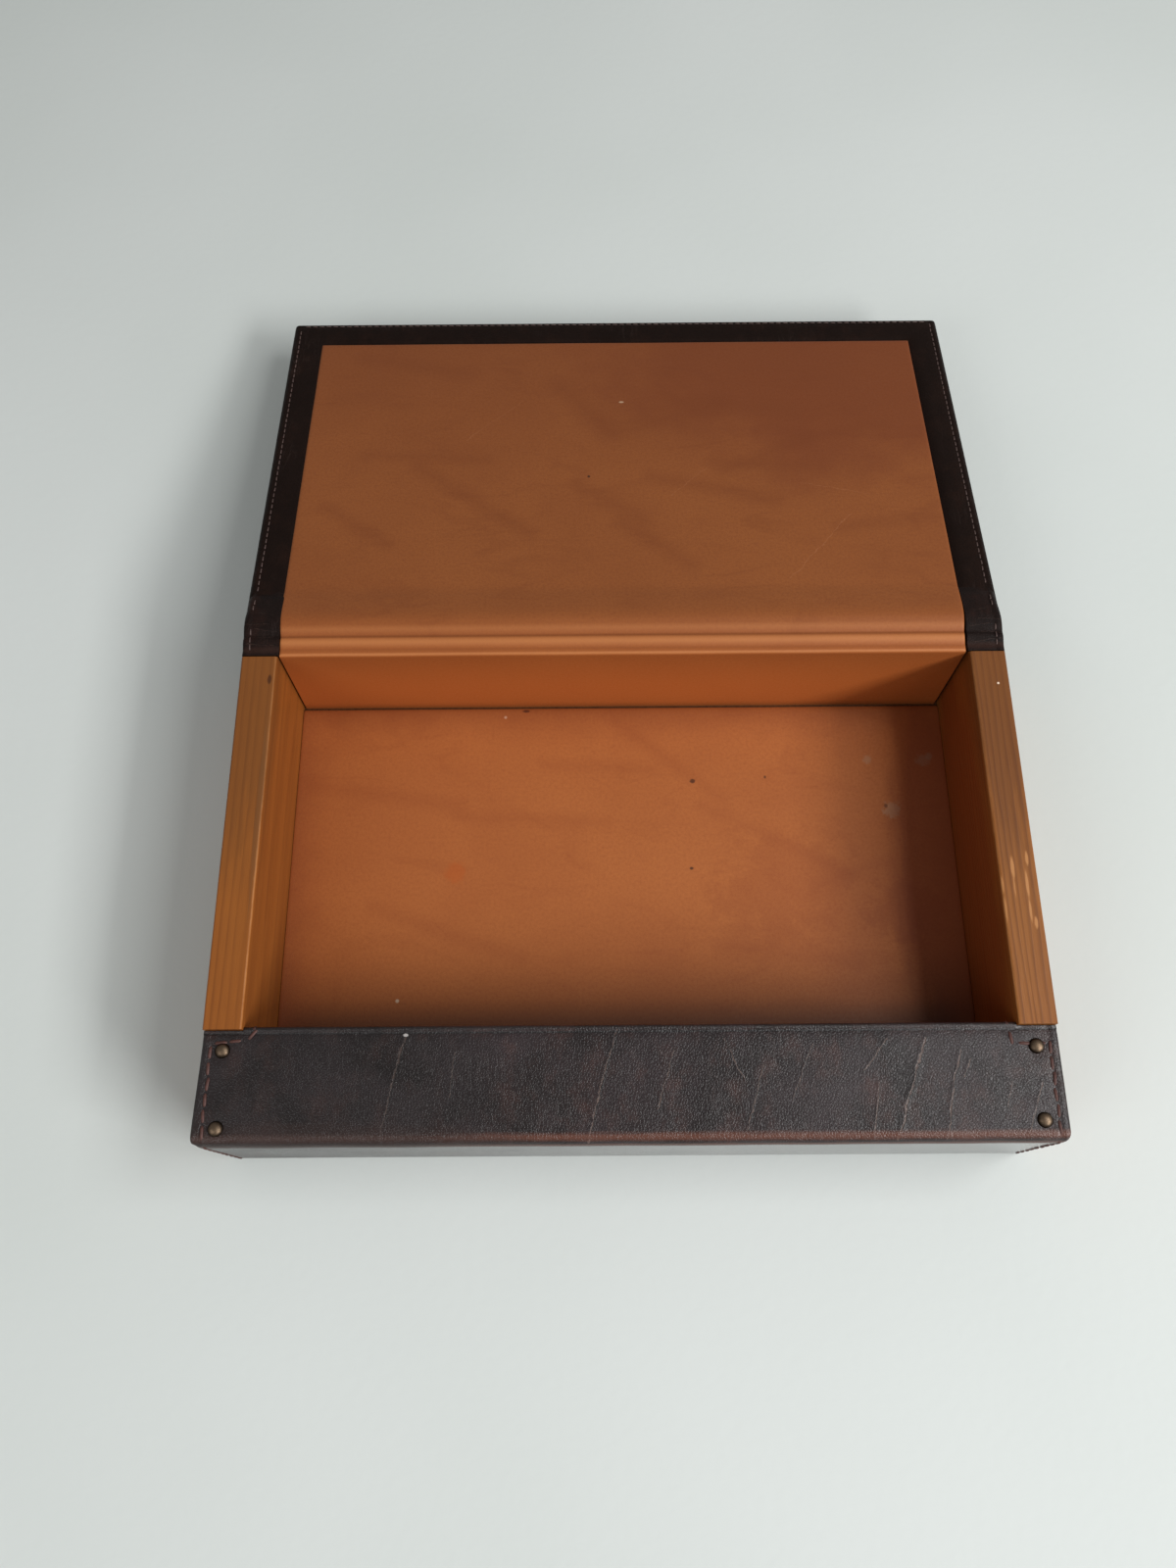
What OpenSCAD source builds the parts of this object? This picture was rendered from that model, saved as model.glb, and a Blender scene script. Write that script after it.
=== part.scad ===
// Stationery box: a low wooden tray wrapped in one dark hide, with a lid that
// lies back open on a leather hinge. Millimetres, +Z up, +Y towards the hinge,
// origin at the centre of the underside. The lid is drawn open.

/* [Tray] */
// Width over the two bare side walls
box_w = 272; // [180:1:400]
// Depth from the front hide to the back hide
box_d = 181; // [130:1:280]
// Height of the side walls' bare tops
box_h = 49; // [40:0.5:90]
// Thickness of a side wall
side_t = 12.6; // [8:0.1:18]
// Thickness of the back board
back_t = 10.5; // [8:0.1:18]
// Thickness of the front board
front_t = 8; // [5:0.1:14]
// Thickness of the bottom board
bottom_t = 2.8; // [2:0.1:8]
// Rounding of the side walls' long top edges
edge_r = 0.8; // [0.3:0.1:2]
// Rounding of the four upright corners, seen from above
corner_r = 2.5; // [1.5:0.1:4]

/* [Ledge] */
// Depth of the front ledge, from the front hide to its inner edge
ledge_w = 36; // [24:1:60]
// Thickness of the board under the ledge's hide
ledge_t = 5; // [3:0.1:8]
// How far the ledge's surface lies below the bare wall tops
ledge_drop = 2.3; // [2:0.1:4]
// Outer radius of the fold between ledge and front
fold_r = 3; // [2:0.1:5]
// How far the hide is turned in under the ledge board
ledge_turn = 12; // [6:0.5:18]

/* [Hide and linings] */
// Thickness of the dark hide
hide_t = 1.3; // [0.9:0.1:1.8]
// Thickness of the tan lining leather
lining_t = 1.2; // [0.8:0.1:1.6]
// Gap between a lining's cut edge and the wall beside it
lining_gap = 1; // [0.4:0.1:2]

/* [Lid] */
// Length of the lid from the hinge line to its far edge
lid_l = 161.5; // [120:0.5:250]
// How far the lid reaches past each side wall
lid_over = 0.7; // [0:0.1:3]
// How far the open lid slopes down from the hinge, in degrees
lid_drop = 9.5; // [4:0.5:14]
// Thickness of the lid's board
board_t = 2.6; // [2:0.1:5]
// Width of the turned-in border along the lid's sides
border_side = 13; // [8:0.5:20]
// Width of the turned-in border along the lid's far edge
border_far = 14.5; // [8:0.5:24]
// Air between the closed lid and the wall tops
lid_gap = 0.3; // [0.2:0.1:1]
// How far the lid's back edge stands off the hinge line
hinge_set = 1.7; // [1.5:0.1:3]

/* [Hinge] */
// Length of lining and side tabs that stays free to bend, on the tray's side
hinge_tray = 5; // [4:0.5:8]
// The same on the lid's side
hinge_lid = 6; // [5:0.5:9]
// Clear width inside the hide's fold at the hinge line
fold_gap = 1.3; // [1:0.1:2]

/* [Nails] */
// Diameter of a domed nail head
head_d = 5; // [4:0.1:7]
// Height of a domed nail head
head_h = 1.6; // [1:0.1:2]
// Diameter of a nail's shank
shank_d = 1.4; // [1:0.1:2]
// Length of a nail under its head
shank_l = 12; // [8:0.5:20]
// Distance of the inner nails from the ledge's inner edge
nail_in = 6.5; // [5:0.5:12]
// Distance of the front nails from the front of the box
nail_out = 6; // [4:0.1:10]

/* [Hidden] */

hide = [0.13, 0.09, 0.08];
tan_leather = [0.58, 0.32, 0.18];
wood = [0.62, 0.37, 0.20];
brass = [0.50, 0.38, 0.20];

// planes of the wooden frame
front_y = -box_d / 2;
back_y = box_d / 2;
frame_front = front_y + hide_t;
frame_back = back_y - hide_t;
open_w = box_w - 2 * side_t;
ledge_in = front_y + ledge_w;
lining_y = frame_back - back_t - lining_t;
ledge_top = box_h - ledge_drop;
ledge_seat = ledge_top - hide_t;
back_seat = box_h - hide_t;
floor_z = hide_t + bottom_t;
wood_fold_r = fold_r - hide_t;

// the lid, drawn flat in its own frame: +Y away from the hinge, z = 0 the inner face
lid_t = board_t + 2 * hide_t;
lid_r = lid_t / 2;
lid_w = box_w + 2 * lid_over;
hinge_z = box_h + lid_gap;
panel_w = lid_w - 2 * border_side;
panel_end = lid_l - border_far;
// air between the bending sheet's end and the lid's pieces
seam = 0.1;
lid_start = hinge_lid + seam;

// the hide's fold at the hinge line, and the round that the bending sheet lies on
sheet_start = [back_y - hinge_tray, back_seat];
arch_r = fold_gap / 2 + hide_t;
arch = [back_y + fold_gap / 2, back_seat];
round_r = arch_r + 0.1;
round_steps = 16;

// a point of the lid's frame, in the box's frame, as [y, z]
function on_lid(u, n) = [
    back_y + u * cos(lid_drop) + n * sin(lid_drop),
    hinge_z - u * sin(lid_drop) + n * cos(lid_drop)
];
sheet_end = on_lid(hinge_lid, -hide_t);

// slopes, in degrees, of the sheet's two straight stretches, which touch the round
function span(v) = sqrt(v[0] * v[0] + v[1] * v[1]);
function slope(v) = atan(v[1] / v[0]);
climb = slope(arch - sheet_start) + asin(round_r / span(arch - sheet_start));
fall = slope(sheet_end - arch) - asin(round_r / span(sheet_end - arch));

// places a flat outline, drawn as [y, z], across the box
module across(width, at = 0) {
    translate([at - width / 2, 0, 0])
        rotate([90, 0, 90])
            linear_extrude(height = width) children();
}

module block(x0, x1, y0, y1, z0, z1) {
    translate([x0, y0, z0]) cube([x1 - x0, y1 - y0, z1 - z0]);
}

// the whole box seen from above, with its rounded upright corners
module plan_outline() {
    w = box_w / 2 - corner_r;
    d = box_d / 2 - corner_r;
    square([2 * w, box_d], center = true);
    square([box_w, 2 * d], center = true);
    for (x = [-w, w], y = [-d, d]) translate([x, y]) circle(r = corner_r, $fn = 48);
}

module within_plan() {
    intersection() {
        children();
        linear_extrude(height = box_h + 10) plan_outline();
    }
}

// side view of a side wall: a rebate for the ledge's hide and one for the hinge tabs
module side_outline() {
    difference() {
        translate([frame_front, hide_t])
            square([frame_back - frame_front, box_h - hide_t]);
        translate([frame_front - 1, ledge_seat])
            square([ledge_in - frame_front + 1, box_h]);
        translate([lining_y, back_seat])
            square([box_d, box_h]);
        front_fold_cut();
    }
}

// what the fold takes off the frame's upper front corner
module front_fold_cut() {
    difference() {
        translate([frame_front - 1, ledge_seat - wood_fold_r])
            square([wood_fold_r + 1, wood_fold_r + 1]);
        translate([frame_front + wood_fold_r, ledge_seat - wood_fold_r])
            circle(r = wood_fold_r, $fn = 48);
    }
}

// end view of a side wall, with its long top edges eased
module side_end() {
    x0 = open_w / 2;
    x1 = box_w / 2;
    translate([x0, 0]) square([side_t, box_h - edge_r]);
    translate([x0 + edge_r, 0]) square([side_t - 2 * edge_r, box_h]);
    for (x = [x0 + edge_r, x1 - edge_r])
        translate([x, box_h - edge_r]) circle(r = edge_r, $fn = 32);
}

module side_wall() {
    difference() {
        within_plan() intersection() {
            across(side_t, at = (open_w + side_t) / 2) side_outline();
            translate([0, box_d / 2, 0])
                rotate([90, 0, 0]) linear_extrude(height = box_d) side_end();
        }
        nail_places() cylinder(d = shank_d, h = 2 * shank_l, center = true, $fn = 24);
    }
}

module left_side_wall() {
    color(wood) mirror([1, 0, 0]) side_wall();
}

module right_side_wall() {
    color(wood) side_wall();
}

module front_board() {
    color(wood)
        block(-open_w / 2, open_w / 2, frame_front, frame_front + front_t,
            hide_t, ledge_seat - ledge_t);
}

module back_board() {
    color(wood)
        block(-open_w / 2, open_w / 2, frame_back - back_t, frame_back,
            hide_t, back_seat);
}

module bottom_board() {
    color(wood)
        block(-open_w / 2, open_w / 2, frame_front + front_t, frame_back - back_t,
            hide_t, floor_z);
}

module ledge_board() {
    color(wood) across(open_w) difference() {
        translate([frame_front, ledge_seat - ledge_t])
            square([ledge_in - hide_t - frame_front, ledge_t]);
        front_fold_cut();
    }
}

// a quarter of a ring of hide round a corner of the frame; turn 0 opens to +y +z
module hide_corner(at, turn, inner = 0) {
    translate(at) rotate(turn) intersection() {
        difference() {
            circle(r = inner + hide_t, $fn = 48);
            if (inner > 0) circle(r = inner, $fn = 48);
        }
        square(inner + hide_t + 1);
    }
}

// the hide from the ledge's inner edge over the front, the underside and the back
module wrap_outline() {
    fold_y = frame_front + wood_fold_r;
    fold_z = ledge_seat - wood_fold_r;
    translate([fold_y, ledge_seat]) square([ledge_in - fold_y, hide_t]);
    hide_corner([fold_y, fold_z], 90, wood_fold_r);
    translate([front_y, hide_t]) square([hide_t, fold_z - hide_t]);
    hide_corner([frame_front, hide_t], 180);
    translate([frame_front, 0]) square([frame_back - frame_front, hide_t]);
    hide_corner([frame_back, hide_t], 270);
    translate([frame_back, hide_t]) square([hide_t, back_seat - hide_t]);
}

// the tongue between the walls, turned down and in under the ledge board
module tongue_outline() {
    under = ledge_seat - ledge_t;
    edge = ledge_in - hide_t;
    translate([edge, under]) square([hide_t, ledge_t + hide_t / 2]);
    hide_corner([edge, under], 270);
    translate([edge - ledge_turn, under - hide_t]) square([ledge_turn, hide_t]);
}

module body_cover() {
    color(hide) difference() {
        union() {
            within_plan() across(box_w) wrap_outline();
            across(open_w) tongue_outline();
        }
        nail_places() cylinder(d = shank_d, h = 2 * shank_l, center = true, $fn = 24);
    }
}

module floor_lining() {
    half = open_w / 2 - lining_gap / 2;
    color(tan_leather)
        block(-half, half, frame_front + front_t + lining_gap / 2,
            lining_y - lining_gap / 2, floor_z, floor_z + lining_t);
}

// the lining of the back: up the inner face and over the rounded top edge
module back_lining() {
    color(tan_leather) across(open_w - 2 * lining_gap) {
        translate([lining_y, floor_z]) square([lining_t, back_seat - floor_z]);
        intersection() {
            translate([lining_y + lining_t, back_seat]) circle(r = lining_t, $fn = 48);
            translate([lining_y, back_seat]) square(lining_t);
        }
        translate([lining_y + lining_t, back_seat])
            square([sheet_start[0] - lining_y - lining_t, lining_t]);
    }
}

// where the ledge's hide is nailed to the side walls, two nails each
module nail_places() {
    for (x = [-1, 1], y = [ledge_in - nail_in, front_y + nail_out])
        translate([x * (box_w - side_t) / 2, y, ledge_top]) children();
}

// section of a nail: a low dome on a shank with a short point
module nail_outline() {
    dome_r = (pow(head_d / 2, 2) + pow(head_h, 2)) / (2 * head_h);
    intersection() {
        translate([0, head_h - dome_r]) circle(r = dome_r, $fn = 64);
        square([head_d, head_h]);
    }
    point = shank_d;
    translate([0, -shank_l + point]) square([shank_d / 2, shank_l - point]);
    polygon([[0, -shank_l], [shank_d / 2, -shank_l + point], [0, -shank_l + point]]);
}

module dome_nails() {
    color(brass) nail_places() rotate_extrude($fn = 48) nail_outline();
}

// puts a piece drawn in the lid's frame at the open lid
module open_lid() {
    translate([0, back_y, hinge_z]) rotate([-lid_drop, 0, 0]) children();
}

module lid_board() {
    half = lid_w / 2 - hide_t;
    color(wood) open_lid()
        block(-half, half, hinge_set + hide_t, lid_l - hide_t, -lid_t + hide_t, -hide_t);
}

// the hide round the lid's board: a soft-edged slab, open over the board and the lining
module lid_cover() {
    half = lid_w / 2;
    color(hide) open_lid() difference() {
        hull() for (x = [-1, 1], u = [hinge_set + lid_r, lid_l - lid_r])
            translate([x * (half - lid_r), u, -lid_r]) sphere(r = lid_r, $fn = 32);
        block(-half + hide_t, half - hide_t, hinge_set + hide_t, lid_l - hide_t,
            -lid_t + hide_t, -hide_t);
        block(-panel_w / 2, panel_w / 2, 0, panel_end, -hide_t, hide_t);
        block(-half - 1, half + 1, 0, lid_start, -hide_t, hide_t);
    }
}

module lid_lining() {
    half = (panel_w - lining_gap) / 2;
    color(tan_leather) open_lid()
        block(-half, half, lid_start, panel_end - lining_gap / 2,
            -hide_t, -hide_t + lining_t);
}

// the hide's fold at the hinge line, from the back of the tray to the lid's back edge
module hinge_cover() {
    color(hide) across(box_w) translate(arch) intersection() {
        difference() {
            circle(r = arch_r, $fn = 48);
            circle(r = fold_gap / 2, $fn = 48);
        }
        translate([-arch_r, 0]) square([2 * arch_r, arch_r]);
    }
}

// a point at radius r over the fold, on the sheet's round at a share t of its turn
function on_round(t, r) = arch + r * [
    -sin(climb + t * (fall - climb)),
    cos(climb + t * (fall - climb))
];

// section of the sheet that bends over the hinge line, thick sheet_t
module sheet_outline(sheet_t) {
    shares = [for (i = [0:round_steps]) i / round_steps];
    low = [for (t = shares) on_round(t, round_r)];
    high = [for (i = [round_steps:-1:0]) on_round(shares[i], round_r + sheet_t)];
    lid_end = sheet_end + sheet_t / cos(fall + lid_drop) * [sin(lid_drop), cos(lid_drop)];
    tray_end = sheet_start + [0, sheet_t / cos(climb)];
    polygon(concat([sheet_start], low, [sheet_end, lid_end], high, [tray_end]));
}

// the lid's turned-in borders run on over the hinge and end on the walls' rebates
module hinge_tabs() {
    outer = box_w / 2;
    inner = open_w / 2 - lining_gap / 2;
    color(hide) for (side = [-1, 1]) across(outer - inner, at = side * (outer + inner) / 2) {
        translate([lining_y, back_seat])
            square([sheet_start[0] - lining_y + 0.01, hide_t]);
        sheet_outline(hide_t);
    }
}

module hinge_lining() {
    color(tan_leather) across(open_w - 2 * lining_gap) sheet_outline(lining_t);
}

left_side_wall();
right_side_wall();
front_board();
back_board();
bottom_board();
ledge_board();
body_cover();
floor_lining();
back_lining();
dome_nails();
lid_board();
lid_cover();
lid_lining();
hinge_cover();
hinge_tabs();
hinge_lining();
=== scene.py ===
import math
import bpy
from mathutils import Matrix, Vector, noise


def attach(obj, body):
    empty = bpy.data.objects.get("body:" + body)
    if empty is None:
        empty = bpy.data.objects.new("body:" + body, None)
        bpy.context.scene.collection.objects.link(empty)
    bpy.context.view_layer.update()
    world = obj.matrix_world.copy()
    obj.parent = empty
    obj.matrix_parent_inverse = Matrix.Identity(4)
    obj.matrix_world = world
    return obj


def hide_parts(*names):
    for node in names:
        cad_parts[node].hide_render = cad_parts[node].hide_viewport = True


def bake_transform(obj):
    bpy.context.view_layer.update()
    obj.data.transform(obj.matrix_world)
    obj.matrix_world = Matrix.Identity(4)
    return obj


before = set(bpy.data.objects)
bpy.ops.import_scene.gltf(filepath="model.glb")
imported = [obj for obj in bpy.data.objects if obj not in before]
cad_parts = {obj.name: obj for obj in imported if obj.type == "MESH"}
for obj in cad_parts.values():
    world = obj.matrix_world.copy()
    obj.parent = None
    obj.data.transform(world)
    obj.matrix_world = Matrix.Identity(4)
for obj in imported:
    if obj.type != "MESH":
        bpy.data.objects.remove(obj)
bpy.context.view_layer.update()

# ---------------------------------------------------------------- camera
# The box is seen from above and a little in front, from about arm's length,
# through a moderately wide lens. Nothing is shifted.
pitch, yaw, roll = 1.205085, 0.006752, -0.013652
level = Vector((math.cos(yaw), math.sin(yaw), 0))
look = Vector((-math.sin(yaw) * math.cos(pitch), math.cos(yaw) * math.cos(pitch), -math.sin(pitch)))
rise = level.cross(look)
right = math.cos(roll) * level + math.sin(roll) * rise
upward = math.cos(roll) * rise - math.sin(roll) * level
bpy.ops.object.camera_add()
camera = bpy.context.object
camera.name = "camera"
camera.data.lens = 36 * 1244.72 / 1600
camera.data.clip_start = 0.01
camera.matrix_world = Matrix((
    (right.x, upward.x, -look.x, -0.011796),
    (right.y, upward.y, -look.y, -0.121041),
    (right.z, upward.z, -look.z, 0.438094),
    (0, 0, 0, 1)))
bpy.context.scene.camera = camera
bpy.context.scene.view_settings.view_transform = "Standard"

# ---------------------------------------------------------------- wooden frame
# Two side walls of pine, 12.6 mm thick, stained honey brown and left bare: their tops,
# inner and outer faces show. Front, back, bottom and ledge boards are the same wood,
# butted between the walls and glued, and covered by the hide and the linings.


def put(tree, kind, sockets=None, **settings):
    """Adds a node, with its settings, and gives or links its sockets."""
    made = tree.nodes.new("ShaderNode" + kind)
    for name, value in settings.items():
        setattr(made, name, value)
    for name, value in (sockets or {}).items():
        if isinstance(value, bpy.types.NodeSocket):
            tree.links.new(value, made.inputs[name])
        else:
            made.inputs[name].default_value = value
    return made


def calc(tree, operation, *values, clamp=False):
    """A Math node's result."""
    return put(tree, "Math", dict(enumerate(values)), operation=operation, use_clamp=clamp).outputs[0]


def times(tree, a, b):
    """Two values multiplied."""
    return calc(tree, "MULTIPLY", a, b)


def plus(tree, a, b):
    """Two values added."""
    return calc(tree, "ADD", a, b)


def minus(tree, a, b, clamp=False):
    """The first value less the second."""
    return calc(tree, "SUBTRACT", a, b, clamp=clamp)


def step(tree, value, low, high, to_low=0.0, to_high=1.0):
    """A smooth step of value between low and high."""
    return put(tree, "MapRange", {0: value, 1: low, 2: high, 3: to_low, 4: to_high},
               interpolation_type="SMOOTHSTEP").outputs[0]


def mixed(tree, share, first, second, kind="MIX"):
    """first and second mixed, both colours."""
    return put(tree, "Mix", {0: share, 6: first, 7: second}, data_type="RGBA", blend_type=kind).outputs[2]


def vector(tree, operation, *values, **named):
    """A Vector Math node's result, which is a value for a length or a dot product."""
    made = put(tree, "VectorMath", {**dict(enumerate(values)), **named}, operation=operation)
    return made.outputs[1 if operation in ("LENGTH", "DOT_PRODUCT") else 0]


def stretched(tree, where, scale):
    """where, stretched by a scale along each axis."""
    return vector(tree, "MULTIPLY", where, scale)


def cloud(tree, where, scale, detail=2.0, rough=0.5, bend=0.0):
    """Noise from 0 to 1."""
    return put(tree, "TexNoise", {"Vector": where, "Scale": scale, "Detail": detail, "Roughness": rough,
                                  "Distortion": bend}).outputs[0]


def new_group(name, takes, gives):
    """A shader group with named sockets: the group, what it takes and what it gives."""
    group = bpy.data.node_groups.new(name, "ShaderNodeTree")
    kinds = {"vector": "NodeSocketVector", "value": "NodeSocketFloat", "colour": "NodeSocketColor"}
    for socket, kind in takes:
        group.interface.new_socket(socket, in_out="INPUT", socket_type=kinds[kind])
    for socket, kind in gives:
        group.interface.new_socket(socket, in_out="OUTPUT", socket_type=kinds[kind])
    return group, group.nodes.new("NodeGroupInput").outputs, group.nodes.new("NodeGroupOutput").inputs


def use_group(tree, group, **sockets):
    """Places a group in a tree, and gives what comes out of it."""
    made = tree.nodes.new("ShaderNodeGroup")
    made.node_tree = group
    for name, value in sockets.items():
        if isinstance(value, bpy.types.NodeSocket):
            tree.links.new(value, made.inputs[name])
        else:
            made.inputs[name].default_value = value
    return made.outputs


def new_material(name):
    """An empty material with a Principled shader; gives the tree and the shader."""
    material = bpy.data.materials.new(name)
    material.use_nodes = True
    return material, material.node_tree, material.node_tree.nodes["Principled BSDF"]


def bump(tree, shader, height, strength, depth):
    """Height, in shares of a depth in metres, as the shader's normal."""
    made = put(tree, "Bump", {"Strength": strength, "Distance": depth, "Height": height})
    tree.links.new(made.outputs[0], shader.inputs["Normal"])


def srgb(red, green, blue):
    """A colour as read off a screen, 0 to 255, as linear light."""
    shares = (red / 255, green / 255, blue / 255)
    return [(c / 12.92 if c < 0.0431 else ((c + 0.055) / 1.055) ** 2.4) for c in shares] + [1]


# growth rings round a pith that runs along the box's depth, with fine fibres
pine_grain, taken, given = new_group(
    "pine_grain",
    [("Where", "vector"), ("Pith", "vector"), ("Ring", "value"), ("Contrast", "value"),
     ("Early", "colour"), ("Late", "colour")],
    [("Colour", "colour"), ("Height", "value"), ("Roughness", "value")])
tree = pine_grain
mm = stretched(tree, taken["Where"], (1000, 1000, 1000))
long = stretched(tree, mm, (1, 0.05, 1))
off = vector(tree, "SUBTRACT", long, taken["Pith"])
flat = stretched(tree, off, (1, 0, 1))
away = vector(tree, "LENGTH", flat)
sway = times(tree, cloud(tree, long, 0.09, 2), 5.5)
wobble = times(tree, cloud(tree, long, 0.8, 1), 0.5)
turns = calc(tree, "DIVIDE", plus(tree, plus(tree, away, sway), wobble), taken["Ring"])
year = calc(tree, "FRACT", turns)
late = times(tree, step(tree, year, 0.35, 0.9), step(tree, year, 0.9, 1.0, 1, 0))
fibre = cloud(tree, stretched(tree, mm, (1, 0.02, 1)), 5.0, 3, 0.65)
broad = cloud(tree, stretched(tree, mm, (1, 0.16, 1)), 0.07, 3, 0.6)
share = times(tree, late, taken["Contrast"])
share = times(tree, share, step(tree, cloud(tree, long, 0.35, 1), 0.25, 0.7, 0.35, 1))
tone = mixed(tree, share, taken["Early"], taken["Late"])
tone = mixed(tree, step(tree, fibre, 0.25, 0.75, 0.3, 0.0), tone, taken["Late"])
tone = mixed(tree, step(tree, broad, 0.35, 0.75, 0.0, 0.3), tone, (0.75, 0.62, 0.5, 1), "MULTIPLY")
tree.links.new(tone, given["Colour"])
tree.links.new(plus(tree, times(tree, fibre, 0.6), share), given["Height"])
tree.links.new(step(tree, fibre, 0.2, 0.8, 0.5, 0.36), given["Roughness"])

# a worn or stained spot with a ragged edge
spot, taken, given = new_group(
    "spot", [("Where", "vector"), ("Middle", "vector"), ("Reach", "vector"), ("Ragged", "value")],
    [("Mask", "value")])
tree = spot
near = vector(tree, "SUBTRACT", stretched(tree, taken["Where"], (1000, 1000, 1000)), taken["Middle"])
near = vector(tree, "DIVIDE", near, taken["Reach"])
gap = vector(tree, "LENGTH", near)
rag = times(tree, minus(tree, cloud(tree, near, 1.6, 4, 0.7), 0.5), taken["Ragged"])
tree.links.new(step(tree, plus(tree, gap, rag), 0.55, 1.05, 1, 0), given["Mask"])


def add_spots(tree, where, tone, spots):
    """Colours the given spots: (middle, reach, ragged, colour, strength), in millimetres."""
    for middle, reach, ragged, colour, strength in spots:
        mask = use_group(tree, spot, Where=where, Middle=middle, Reach=reach, Ragged=ragged)[0]
        tone = mixed(tree, times(tree, mask, strength), tone, colour)
    return tone


def stained_pine(name, pith, ring, contrast, early, late, edges=(0.1234, 0.136), spots=()):
    """Satin stained pine, paler where the wall's two long upper edges are rubbed; edges are their
    distances from the middle, in metres."""
    material, tree, shader = new_material(name)
    where = tree.nodes.new("ShaderNodeTexCoord").outputs["Object"]
    grain = use_group(tree, pine_grain, Where=where, Pith=pith, Ring=ring, Contrast=contrast,
                      Early=early, Late=late)
    tone = grain["Colour"]
    apart = put(tree, "SeparateXYZ", {0: where})
    side = calc(tree, "ABSOLUTE", apart.outputs[0])
    rubbed = None
    for edge, width, strength in ((edges[0], 0.0008, 0.6), (edges[1], 0.0006, 0.3)):
        dx = minus(tree, side, edge)
        dz = minus(tree, apart.outputs[2], 0.049)
        far = calc(tree, "SQRT", plus(tree, times(tree, dx, dx), times(tree, dz, dz)))
        rough_edge = cloud(tree, stretched(tree, where, (500, 90, 500)), 1.0, 3, 0.7)
        far = plus(tree, far, times(tree, rough_edge, 0.0012))
        one = times(tree, step(tree, far, width, width * 1.7, 1, 0), strength)
        rubbed = one if rubbed is None else calc(tree, "MAXIMUM", rubbed, one)
    tone = mixed(tree, rubbed, tone, srgb(190, 128, 74))
    tone = add_spots(tree, where, tone, spots)
    tree.links.new(tone, shader.inputs["Base Color"])
    tree.links.new(grain["Roughness"], shader.inputs["Roughness"])
    shader.inputs["Specular IOR Level"].default_value = 0.25
    bump(tree, shader, grain["Height"], 0.5, 0.00012)
    return material


pale_wood = srgb(188, 130, 78)
left_pine = stained_pine(
    "stained_pine_left", (60, 0, 0), 2.6, 0.45, srgb(155, 92, 38), srgb(110, 60, 24),
    # painted shade: the first spot darkens the top towards the back, where less light falls
    spots=[((-131, 80, 49), (16, 88, 14), 1.0, srgb(92, 58, 30), 0.42),
           ((-125.2, 68.5, 49), (0.9, 2.2, 2), 0.5, srgb(70, 38, 20), 0.8),
           ((-124.6, 20, 49), (1.2, 40, 1.5), 1.6, srgb(110, 76, 46), 0.45)])
right_pine = stained_pine(
    "stained_pine_right", (66, 0, -25), 1.5, 0.6, srgb(152, 94, 40), srgb(98, 54, 22),
    # painted shade: the first spot darkens the top towards the back, the second darkens and reddens the inner
    # face, which faces away from the light
    spots=[((130, 84, 49), (16, 92, 12), 1.0, srgb(84, 46, 24), 0.5),
           ((123.4, 0, 22), (4, 130, 28), 0.6, srgb(112, 40, 16), 0.6)] +
          [(middle, (*reach, 1), ragged, pale_wood, strength) for middle, reach, ragged, strength in (
              ((128.1, -2.8, 49), (0.75, 4.5), 0.9, 0.85), ((127.9, -9.5, 49), (0.35, 4), 1.1, 0.6),
              ((133.2, 0.4, 49), (0.65, 2.9), 0.8, 0.9), ((132.2, -8.5, 49), (0.6, 5.5), 0.8, 0.9),
              ((132.1, -17.5, 49), (0.5, 4.5), 0.9, 0.85), ((133.4, -21.6, 49), (0.7, 2.4), 0.9, 0.9),
              ((124.0, -8.8, 48.9), (0.5, 3.5), 1.0, 0.7), ((124.0, -17, 48.9), (0.5, 5), 1.0, 0.8))] +
          [((131.9, 64.9, 49), (0.5, 0.5, 1), 0.3, srgb(240, 215, 190), 1.0)])
plain_pine = stained_pine("plain_pine", (0, 0, -40), 2.2, 0.55, srgb(92, 58, 34), srgb(66, 38, 20), (0.2, 0.21))
hidden_boards = ("front_board", "back_board", "bottom_board", "ledge_board", "lid_board")
for name in ("left_side_wall", "right_side_wall") + hidden_boards:
    material = {"left_side_wall": left_pine, "right_side_wall": right_pine}.get(name, plain_pine)
    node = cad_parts[name]
    node.data.materials.clear()
    node.data.materials.append(material)

# ---------------------------------------------------------------- hide round the tray
# One piece of dark brown cowhide, 1.3 mm thick: it is turned in under the ledge board,
# rolled over its inner edge, and glued over the ledge, the front, the underside and the
# back. Its side edges are hemmed and stitched. Age has creased the ledge.


def only(*pieces):
    """Selects these pieces alone; the first is the active one."""
    bpy.ops.object.select_all(action="DESELECT")
    for piece in pieces:
        piece.select_set(True)
    bpy.context.view_layer.objects.active = pieces[0]


def edit_all():
    """Opens the active piece in edit mode, with all of it selected."""
    bpy.ops.object.mode_set(mode="EDIT")
    bpy.ops.mesh.select_all(action="SELECT")


def smooth(piece, degrees=50):
    """Shades a piece smooth, apart from its edges sharper than this."""
    only(piece)
    bpy.ops.object.shade_smooth_by_angle(angle=math.radians(degrees))


def join(pieces, name):
    """One named piece made of several."""
    only(*pieces)
    bpy.ops.object.join()
    joined = bpy.context.object
    joined.name = joined.data.name = name
    return joined


def start_point(x, y, z):
    """A new mesh of a single point, open in edit mode. In millimetres."""
    bpy.ops.object.select_all(action="DESELECT")
    bpy.ops.mesh.primitive_plane_add(size=0.001, location=(0, 0, 0))
    edit_all()
    bpy.ops.mesh.merge(type="CENTER")
    bpy.ops.transform.translate(value=(x / 1000, y / 1000, z / 1000))
    return bpy.context.object


def pull(x, y, z):
    """Extrudes what is selected. In millimetres."""
    bpy.ops.mesh.extrude_region_move(TRANSFORM_OT_translate={"value": (x / 1000, y / 1000, z / 1000)})


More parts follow.
